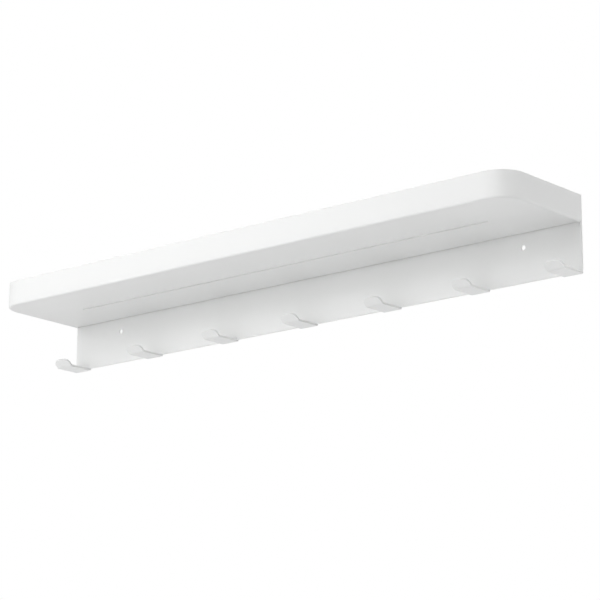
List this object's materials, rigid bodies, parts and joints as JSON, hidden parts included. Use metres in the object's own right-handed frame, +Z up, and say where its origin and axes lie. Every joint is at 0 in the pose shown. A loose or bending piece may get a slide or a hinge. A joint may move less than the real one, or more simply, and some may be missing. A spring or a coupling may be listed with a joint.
{
  "type": "wall shelf with coat rail",
  "caption": "White sheet-steel wall shelf: a shallow rimmed tray with round front corners and a long slot, over a back plate whose lower edge is folded out into flat upturned coat hooks.",
  "frame": {"origin": "on the wall face of the plate, halfway between the two screw holes", "axes": "+X along the shelf to the right as seen from the room, +Y into the wall, +Z up"},
  "size_m": [0.8, 0.146, 0.093],
  "materials": {
    "white_powder_coat": "matt white powder coat on steel sheet, 2.5 mm in the plate and hooks and 3 mm in the tray, welds ground and coated over"
  },
  "bodies": {
    "root": {"wall_plate": "white_powder_coat", "shelf_floor": "white_powder_coat", "rim_band": "white_powder_coat", "rim_weld": "white_powder_coat", "rim_end_welds": "white_powder_coat", "plug_welds": "white_powder_coat", "hook_1": "white_powder_coat", "hook_2": "white_powder_coat", "hook_3": "white_powder_coat", "hook_4": "white_powder_coat", "hook_5": "white_powder_coat", "hook_6": "white_powder_coat", "hook_7": "white_powder_coat"}
  },
  "joints": []
}
